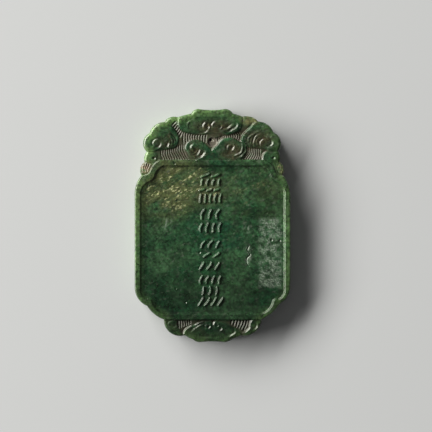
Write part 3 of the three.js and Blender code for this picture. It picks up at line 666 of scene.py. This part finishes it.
def edge_drop(distance, y):
    """How far the edge has fallen at a distance in from the outline, and how steeply it falls there."""
    share = BEVEL_SHARE_BELOW + (1 - BEVEL_SHARE_BELOW) * smooth((y - SHELL_BOTTOM) / 4)
    rim = np.clip(EDGE_ROUND + BEVEL_WIDTH - distance, 0, BEVEL_WIDTH)
    sine = math.sin(RIM_ANGLE) + np.clip(EDGE_ROUND - distance, 0, EDGE_ROUND) / ROUND_RADIUS
    cosine = np.sqrt(np.maximum(1 - sine ** 2, 1e-4))
    drop = share * BEVEL_SLOPE * rim + ROUND_RADIUS * (math.cos(RIM_ANGLE) - cosine) * (distance < EDGE_ROUND)
    steep = np.where(distance < EDGE_ROUND, sine / cosine, share * BEVEL_SLOPE * (rim > 0))
    return drop, steep


def face_normals(field, distance_map, points, distance, side):
    """The true normals of a carved face at points, from the slopes of its map and of its edge."""
    slopes = [sampled(slope, points) for slope in np.gradient(field, CELL)[::-1]]
    inward = [sampled(slope, points) for slope in np.gradient(distance_map, CELL)[::-1]]
    steep = edge_drop(distance, points[:, 1])[1] * side
    normals = np.column_stack([-(slopes[0] + steep * inward[0]), -(slopes[1] + steep * inward[1]),
                               np.ones(len(points))]) * side
    return normals / np.linalg.norm(normals, axis=1)[:, None]


def triangulate(run, hole, extra):
    """Triangles over a closed run with a round hole in it, through the extra points."""
    area = (slice(0, len(YS)), slice(0, len(XS)))
    mask = inside(run, area) & ~inside(hole, area)
    extra = extra[sampled(mask.astype(float), extra) > 0.999]
    rounded = np.unique(np.round(extra / KEEP_GAP).astype(int), axis=0, return_index=True)[1]
    extra = extra[np.sort(rounded)]
    points = np.vstack([run, hole, extra])
    first = len(run)
    edges = [(i, (i + 1) % first) for i in range(first)]
    edges += [(first + i, first + (i + 1) % len(hole)) for i in range(len(hole))]
    result = delaunay_2d_cdt([Vector(p) for p in points.tolist()], edges, [], 0, 1e-6)
    origin = [min(source) for source in result[3]]
    corners = points[origin]
    faces = np.array(result[2])
    centre = corners[faces].mean(1)
    solid = inside_points(centre, run) & ~inside_points(centre, hole)
    return corners, origin, faces[solid]


def inside_points(points, run):
    """Which points lie inside a closed run, by counting crossings to their left."""
    count = np.zeros(len(points), int)
    for a, b in zip(run, np.roll(run, -1, axis=0)):
        if a[1] == b[1]:
            continue
        spans = (points[:, 1] >= min(a[1], b[1])) & (points[:, 1] < max(a[1], b[1]))
        crossing_x = a[0] + (points[:, 1] - a[1]) * (b[0] - a[0]) / (b[1] - a[1])
        count += spans & (crossing_x < points[:, 0])
    return count % 2 == 1


def face_mesh(field, run, hole, chord_error, finest, levels):
    """One face: its points in the plane, their sources, its triangles, and how far in each point lies."""
    round_rings = [EDGE_ROUND * (1 - math.cos(math.radians(angle))) for angle in (30, 60)]
    rim_rings = [EDGE_ROUND + BEVEL_WIDTH * share for share in (0, 0.5, 1)]
    rings = inner_rings(run, round_rings + rim_rings)
    lattice = lattice_points(needed_spacing(field, chord_error), finest, levels)
    lattice = lattice[run_distance(lattice, run) > EDGE_ROUND + BEVEL_WIDTH + finest / 2]
    corners, origin, faces = triangulate(run, hole, np.vstack([rings, lattice]))
    return corners, origin, faces, run_distance(corners, run)


def soft_box(x, y, low, high, edge):
    """A share that is 1 inside a box and fades out over an edge."""
    inward = np.minimum(np.minimum(x - low[0], high[0] - x), np.minimum(y - low[1], high[1] - y))
    return smooth(inward / edge + 0.5)


def soft_discs(x, y, rows):
    """Soft discs added up to 1 at most, from rows of strength, centre and radii."""
    return np.clip(sum(strength * soft_disc(x, y, centre, radii) for strength, centre, radii in rows), 0, 1)


def stone_zones(front, front_map, back, back_map):
    """How strongly each change of the stone, and the painted glow near the outline, shows at each point, from
    0 to 1.
    """
    x, y = np.vstack([front[0], back[0]]).T
    inward = np.concatenate([front[3], back[3]])
    none_behind = np.zeros(len(back[0]))
    on_front = np.concatenate([np.ones(len(front[0])), none_behind])
    level = sampled(front_map, front[0])
    level_around = sampled(blurred(front_map, 0.7), front[0])
    sunk = np.concatenate([smooth((FACE - 0.45 - level_around) / 0.2), none_behind])
    hollow = np.concatenate([sampled(blurred(front_map, 0.8) - front_map, front[0]),
                             sampled(back_map - blurred(back_map, 0.8), back[0])])
    in_field = np.concatenate([smooth((FIELD + 0.3 - level) / 0.2), none_behind])
    crest = smooth((y - CREST_BOTTOM) / 1.2)
    foot = smooth((FOOT_TOP - y) / 1.2)
    left = smooth(0.5 - x / 30)
    grime = (np.maximum(crest, 0.8 * foot) * soft_box(x, y, (-23, -41), (21.5, 37), 4)
             + 0.9 * soft_box(x, y, (-6.5, 7.5), (5.5, 20.5), 1.5))
    chips = soft_disc(x, y, (22.6, -5.6), (1, 1)) + soft_disc(x, y, (25.9, -6.0), (1, 1))
    return {
        "hollow": np.clip(hollow / 0.35, 0, 1),
        "grime": np.clip(grime, 0, 1) * on_front,
        "sunk": sunk * np.maximum(crest, foot),
        # Painted light: lighter green near the outline stands in for light shining through the thin edges,
        # more on the lit left of the crest.
        "rim": smooth(1 - inward / 4.5) * (crest * (0.4 + 0.6 * left) + (1 - crest) * 0.55),
        "olive": soft_discs(x, y, [(1, (-19, 17), (24, 22)), (0.35, (16, 14), (20, 18))]) * (1 - crest),
        "fleck": soft_discs(x, y, [(1, (-17, 15), (17, 14)), (1, (-7, 22), (7, 6)), (0.6, (0, 11), (7, 6)),
                                   (0.15, (14, 14), (18, 12))]) * in_field,
        "deep": soft_discs(x, y, [(1, (2, -2), (16, 13)), (0.5, (4, 27.5), (9, 6))]),
        "shell": soft_discs(x, y, [(1, (-26.6, 22.3), (4.5, 3.6)), (1, (27.2, 22.0), (4, 3.6))]),
        "straw": soft_disc(x, y, (14.2, 41.0), (5, 3.4)),
        # Darker towards the bottom of the plaque, and most over the foot.
        "darker_below": np.clip(smooth((-4 - y) / 26) * 0.7 + foot, 0, 1),
        "umber": soft_discs(x, y, [(1, (7.2, 28.4), (7, 5)), (1, (0, 38), (12, 4.4)), (1, (18, 33), (8, 5.5)),
                                   (1, (-6.4, 28), (5, 3.6)), (0.7, (-18.5, 32), (5, 4))]),
        "worn": soft_box(x, y, (18.0, -23.8), (26.6, 2.6), 1.2) * on_front * (1 - chips),
        "scuff": soft_discs(x, y, [(1, (13.6, -11.5), (1.5, 5.5)), (1, (13.6, -1.2), (2, 2)),
                                   (0.7, (-17.5, 0.5), (3, 3))]) * on_front,
        "socket": smooth((SOCKET_RADIUS + 0.2 - np.hypot(x - SOCKET_X, y - SOCKET_Y)) / 0.4) * on_front,
    }


def build_plaque():
    run = closed_run(OUTLINE, 0.3)
    hole = ring(HOLE_X, HOLE_Y, HOLE_RADIUS, 0, 1)[:-1]
    front_map, back_map = carve_front(), carve_back()
    front = face_mesh(front_map, run, hole, CHORD_ERROR, FINEST, LEVELS)
    back = face_mesh(back_map, run, hole, 3 * CHORD_ERROR, 2 * FINEST, LEVELS - 1)
    front_z = sampled(front_map, front[0]) - edge_drop(front[3], front[0][:, 1])[0]
    back_z = sampled(back_map, back[0]) + edge_drop(back[3], back[0][:, 1])[0]
    distance_map = np.zeros(PLAIN_X.shape)
    area, distance = signed_distance(run, MARGIN)
    distance_map[area] = distance
    normals = np.vstack([face_normals(front_map, distance_map, front[0], front[3], 1),
                         face_normals(back_map, distance_map, back[0], back[3], -1)])
    offset = len(front[0])
    places = np.vstack([np.column_stack([front[0], front_z]), np.column_stack([back[0], back_z])])
    faces = front[2].tolist() + (back[2][:, ::-1] + offset).tolist()
    # Walls: the outer edge and the hole's edge of the front are joined to those of the back.
    front_index = {o: i for i, o in enumerate(front[1])}
    back_index = {o: i + offset for i, o in enumerate(back[1])}
    for start, count in ((0, len(run)), (len(run), len(hole))):
        for i in range(count):
            a, b = start + i, start + (i + 1) % count
            if start:
                a, b = b, a
            faces.append([front_index[a], front_index[b], back_index[b], back_index[a]])
    bore = np.hypot(places[:, 0] - HOLE_X, places[:, 1] - HOLE_Y) < HOLE_RADIUS + 0.01
    to_axis = [HOLE_X - places[bore, 0], HOLE_Y - places[bore, 1], np.zeros(bore.sum())]
    normals[bore] = np.column_stack(to_axis)
    return places, faces, normals, stone_zones(front, front_map, back, back_map)


places, faces, normals, zones = build_plaque()
low, high = places.min(0), places.max(0)
centre_x = (node_low[0] + node_high[0]) / 2
centre_y = (node_low[1] + node_high[1]) / 2
middle = [(low[0] + high[0]) / 2, (low[1] + high[1]) / 2, 0]
placed = (places - middle) * MM + [centre_x, centre_y, node_low[2]]
mesh = bpy.data.meshes.new("jade_plaque")
mesh.from_pydata(placed.tolist(), [], faces)
mesh.validate()
mesh.update()
plaque = bpy.data.objects.new("jade_plaque", mesh)
bpy.context.scene.collection.objects.link(plaque)
mesh.polygons.foreach_set("use_smooth", [True] * len(mesh.polygons))
mesh.normals_split_custom_set_from_vertices((normals / np.linalg.norm(normals, axis=1)[:, None]).tolist())
for name, values in zones.items():
    mesh.attributes.new(name, "FLOAT", "POINT").data.foreach_set("value", values.astype(np.float32))
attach(plaque, "root")
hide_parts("plaque")


# ------------------------------------------------------------------------------------------------------------
# Material.

DARK_GREEN = (0.010, 0.052, 0.021)
LIGHT_GREEN = (0.034, 0.090, 0.040)
EMERALD = (0.010, 0.066, 0.031)
OLIVE = (0.095, 0.115, 0.048)
# painted glow: the lighter green of light shining through the thin edges
EDGE_GLOW_GREEN = (0.14, 0.25, 0.082)
UMBER = (0.058, 0.052, 0.027)
STRAW = (0.27, 0.27, 0.125)
SHELL = (0.23, 0.165, 0.105)
SPECK = (0.006, 0.017, 0.009)
PALE_GRAIN = (0.13, 0.17, 0.125)
STREAK = (0.17, 0.18, 0.06)
FLECK = (0.72, 0.74, 0.42)
RESIDUE = (0.085, 0.063, 0.036)
THICK_RESIDUE = (0.070, 0.056, 0.032)
STAIN = (0.085, 0.074, 0.040)
SOCKET_GREY = (0.17, 0.155, 0.125)
WORN_GREEN = (0.30, 0.38, 0.31)


class Paint:
    """A material whose colours are mixed step by step from noise and the stone's zones."""

    def __init__(self, name):
        self.material = bpy.data.materials.new(name)
        self.material.use_nodes = True
        self.tree = self.material.node_tree
        self.shader = self.tree.nodes["Principled BSDF"]
        self.place = self.tree.nodes.new("ShaderNodeTexCoord").outputs["Object"]

    def node(self, kind, inputs, **settings):
        made = self.tree.nodes.new(kind)
        for name, value in settings.items():
            setattr(made, name, value)
        for socket, value in inputs.items():
            if isinstance(value, bpy.types.NodeSocket):
                self.tree.links.new(value, made.inputs[socket])
            else:
                made.inputs[socket].default_value = value
        return made

    def zone(self, name):
        return self.node("ShaderNodeAttribute", {}, attribute_name=name).outputs["Fac"]

    def noise(self, size, detail=3.0, stretch=(1, 1), turn=0, shift=0):
        """Noise with features of a size in millimetres. A shift gives another pattern of the same kind."""
        across, away = size / 1000, shift / 100
        place = self.node("ShaderNodeMapping", {
            "Vector": self.place, "Rotation": (0, 0, math.radians(turn)), "Location": (away, away, 0),
            "Scale": (across * stretch[0], across * stretch[1], across)}, vector_type="TEXTURE")
        return self.node("ShaderNodeTexNoise", {"Vector": place.outputs[0], "Scale": 1.0, "Detail": detail,
                                                "Roughness": 0.6}).outputs["Fac"]

    def between(self, value, low, high, to_low=0.0, to_high=1.0):
        return self.node("ShaderNodeMapRange", {"Value": value, "From Min": low, "From Max": high,
                                                "To Min": to_low, "To Max": to_high},
                         interpolation_type="SMOOTHSTEP").outputs["Result"]

    def math(self, operation, first, second):
        return self.node("ShaderNodeMath", {0: first, 1: second}, operation=operation).outputs[0]

    def times(self, *values):
        product = values[0]
        for value in values[1:]:
            product = self.math("MULTIPLY", product, value)
        return product

    def scaled(self, colour, share):
        """A colour made darker or lighter."""
        grey = self.node("ShaderNodeCombineColor", {"Red": share, "Green": share, "Blue": share}).outputs[0]
        return self.mix(1.0, colour, grey, "MULTIPLY")

    def mix(self, share, first, second, blend="MIX"):
        made = self.node("ShaderNodeMix", {}, data_type="RGBA", blend_type=blend)
        for socket, value in ((0, share), (6, first), (7, second)):
            if isinstance(value, bpy.types.NodeSocket):
                self.tree.links.new(value, made.inputs[socket])
            else:
                made.inputs[socket].default_value = value if socket == 0 else (*value, 1)
        return made.outputs[2]


def stone_colour(paint):
    """The green of the stone, mottled, with darker and lighter clouds, grains and flecks, and a painted glow
    of lighter green near the outline.
    """
    clouds = paint.between(paint.noise(9, 4, (1.5, 1)), 0.36, 0.66)
    colour = paint.mix(clouds, DARK_GREEN, LIGHT_GREEN)
    colour = paint.scaled(colour, paint.between(paint.noise(2.8, 3, (1.4, 1), 0, 9), 0.32, 0.68, 0.72, 1.32))
    colour = paint.mix(paint.times(paint.zone("deep"), paint.between(paint.noise(6), 0.35, 0.6)), colour,
                       EMERALD)
    olive = paint.times(paint.zone("olive"), paint.between(paint.noise(7, 4, (1.8, 1), 24), 0.32, 0.62))
    colour = paint.mix(olive, colour, OLIVE)
    # Painted light: the edges glow lighter green, most on the crest's lit left side.
    rim = paint.times(paint.zone("rim"), paint.between(paint.noise(5, 4), 0.2, 0.6))
    colour = paint.mix(rim, colour, EDGE_GLOW_GREEN)
    umber = paint.times(paint.zone("umber"), paint.between(paint.noise(3, 3, shift=2), 0.25, 0.6, 0.35, 0.95))
    colour = paint.mix(umber, colour, UMBER)
    straw = paint.times(paint.zone("straw"), paint.between(paint.noise(2.4), 0.3, 0.6))
    colour = paint.mix(straw, colour, STRAW)
    shell = paint.times(paint.zone("shell"), paint.between(paint.noise(2.2), 0.3, 0.6))
    return paint.mix(shell, colour, SHELL)


def grain_colour(paint, colour):
    """Fine grains, dark specks, and yellow flecks that rise to the right in the olive zone."""
    colour = paint.scaled(colour, paint.between(paint.noise(1.0, 3), 0.30, 0.72, 0.58, 1.55))
    colour = paint.scaled(colour, paint.between(paint.noise(2.2, 4, shift=15), 0.34, 0.68, 0.72, 1.28))
    specks = paint.between(paint.noise(1.3, 3, shift=3), 0.60, 0.70, 0, 0.9)
    colour = paint.mix(specks, colour, SPECK)
    pale = paint.between(paint.noise(1.2, 5, (1.6, 1), 20, 7), 0.54, 0.70, 0, 0.6)
    colour = paint.mix(pale, colour, PALE_GRAIN)
    clusters = paint.between(paint.noise(5, 3, (1.8, 1), 35, 13), 0.42, 0.54)
    streaks = paint.between(paint.noise(1.8, 3, (4.5, 1), 30, 11), 0.44, 0.58)
    streaks = paint.times(streaks, paint.zone("fleck"), clusters)
    colour = paint.mix(paint.times(streaks, 0.3), colour, STREAK)
    flecks = paint.times(paint.between(paint.noise(0.7, 3, (1.9, 1), 30, 4), 0.52, 0.65), streaks)
    return paint.mix(flecks, colour, FLECK)


def grime_colour(paint, colour):
    """Pinkish brown residue in the cuts, darker brown where it is thick, grey in the socket, and the whole
    colour darker towards the bottom and over the foot.
    """
    hollow = paint.times(paint.zone("hollow"), paint.zone("grime"))
    colour = paint.mix(paint.times(hollow, paint.between(paint.noise(3, 3), 0.3, 0.6, 0.6, 1.0)), colour,
                       RESIDUE)
    thick = paint.times(paint.zone("sunk"), paint.between(paint.noise(2.5, 3, shift=8), 0.3, 0.6, 0.35, 0.8))
    colour = paint.mix(thick, colour, THICK_RESIDUE)
    patches = paint.times(paint.zone("grime"), paint.between(paint.noise(4, 4, shift=5), 0.50, 0.72, 0, 0.6))
    colour = paint.mix(patches, colour, STAIN)
    colour = paint.mix(paint.times(paint.zone("socket"), 0.9), colour, SOCKET_GREY)
    # The colour is made darker towards the bottom and over the foot.
    return paint.scaled(colour, paint.between(paint.zone("darker_below"), 0, 1, 1, 0.45))


def worn_share(paint):
    """How far the polish is rubbed off at each place, in grains."""
    blotches = paint.times(paint.zone("worn"), paint.between(paint.noise(2.2, 5, shift=6), 0.38, 0.60))
    grit = paint.between(paint.noise(0.6, 3), 0.42, 0.62)
    scuffs = paint.times(paint.zone("scuff"), paint.between(paint.noise(1.2, 4, (1, 2.5), -15), 0.46, 0.60))
    grains = paint.math("ADD", paint.times(grit, 0.85), 0.15)
    return paint.math("MAXIMUM", paint.times(blotches, grains), scuffs)


def jade_material():
    paint = Paint("jade")
    worn = worn_share(paint)
    colour = grime_colour(paint, grain_colour(paint, stone_colour(paint)))
    colour = paint.mix(paint.times(worn, 0.85), colour, WORN_GREEN)
    paint.tree.links.new(colour, paint.shader.inputs["Base Color"])
    polish = paint.between(paint.noise(2.5, 3), 0.3, 0.7, 0.23, 0.35)
    matt = paint.math("MAXIMUM", worn, paint.times(paint.zone("sunk"), 0.6))
    rough = paint.math("ADD", polish, paint.times(matt, 0.3))
    paint.tree.links.new(rough, paint.shader.inputs["Roughness"])
    fine = paint.math("ADD", paint.times(paint.noise(1.2, 2), 0.06), worn)
    bump = paint.node("ShaderNodeBump", {"Height": fine, "Strength": 0.3, "Distance": 0.00004})
    paint.tree.links.new(bump.outputs[0], paint.shader.inputs["Normal"])
    paint.shader.inputs["IOR"].default_value = 1.62
    paint.shader.inputs["Subsurface Weight"].default_value = 0.25
    paint.shader.inputs["Subsurface Radius"].default_value = (0.5, 1.0, 0.4)
    paint.shader.inputs["Subsurface Scale"].default_value = 0.001
    return paint.material


mesh.materials.append(jade_material())

# ------------------------------------------------------------------------------------------------------------
# Floor, light and camera.

PICTURE_WIDTH = 1.846 * DRAWN_HEIGHT * MM     # how much the square picture takes in
CAMERA_SHIFT = (0.0013, 0.0037)               # the plaque stands a little off the picture's middle
LENS, SENSOR_WIDTH = 100, 36
FLOOR_HALF = 1.5
KEY_PLACE = (-2.4, 1.15, 1.25)                # low on the left, so that every cut catches it
KEY_SIZE, KEY_POWER = (4.6, 1.1), 220
WARM_WHITE = (1, 0.985, 0.88)


def make_floor():
    floor_mesh = bpy.data.meshes.new("floor")
    half = FLOOR_HALF
    z = float(node_low[2]) - 0.0001
    floor_mesh.from_pydata([(-half, -half, z), (half, -half, z), (half, half, z), (-half, half, z)], [],
                           [(0, 1, 2, 3)])
    floor = bpy.data.objects.new("floor", floor_mesh)
    bpy.context.scene.collection.objects.link(floor)
    paint = bpy.data.materials.new("floor_paint")
    paint.use_nodes = True
    paint.node_tree.nodes["Principled BSDF"].inputs["Base Color"].default_value = (0.70, 0.715, 0.78, 1)
    paint.node_tree.nodes["Principled BSDF"].inputs["Roughness"].default_value = 0.9
    floor_mesh.materials.append(paint)


def add_light(name, place, size, power, colour):
    lamp = bpy.data.lights.new(name, "AREA")
    lamp.shape = "RECTANGLE"
    lamp.size, lamp.size_y = size
    lamp.energy = power
    lamp.color = colour
    light = bpy.data.objects.new(name, lamp)
    light.location = place
    aim = Vector((centre_x, centre_y, 0)) - Vector(place)
    light.rotation_euler = aim.to_track_quat("-Z", "Y").to_euler()
    bpy.context.scene.collection.objects.link(light)


def make_camera():
    data = bpy.data.cameras.new("camera")
    data.lens = LENS
    camera = bpy.data.objects.new("camera", data)
    distance = PICTURE_WIDTH * LENS / SENSOR_WIDTH
    camera.location = (centre_x + CAMERA_SHIFT[0], centre_y + CAMERA_SHIFT[1], node_high[2] + distance)
    bpy.context.scene.collection.objects.link(camera)
    bpy.context.scene.camera = camera


make_floor()
add_light("key", KEY_PLACE, KEY_SIZE, KEY_POWER, WARM_WHITE)
make_camera()

world = bpy.data.worlds.new("studio")
world.use_nodes = True
world.node_tree.nodes["Background"].inputs["Color"].default_value = (1, 0.985, 0.9, 1)
world.node_tree.nodes["Background"].inputs["Strength"].default_value = 0.075
bpy.context.scene.world = world
bpy.context.scene.view_settings.view_transform = "Standard"
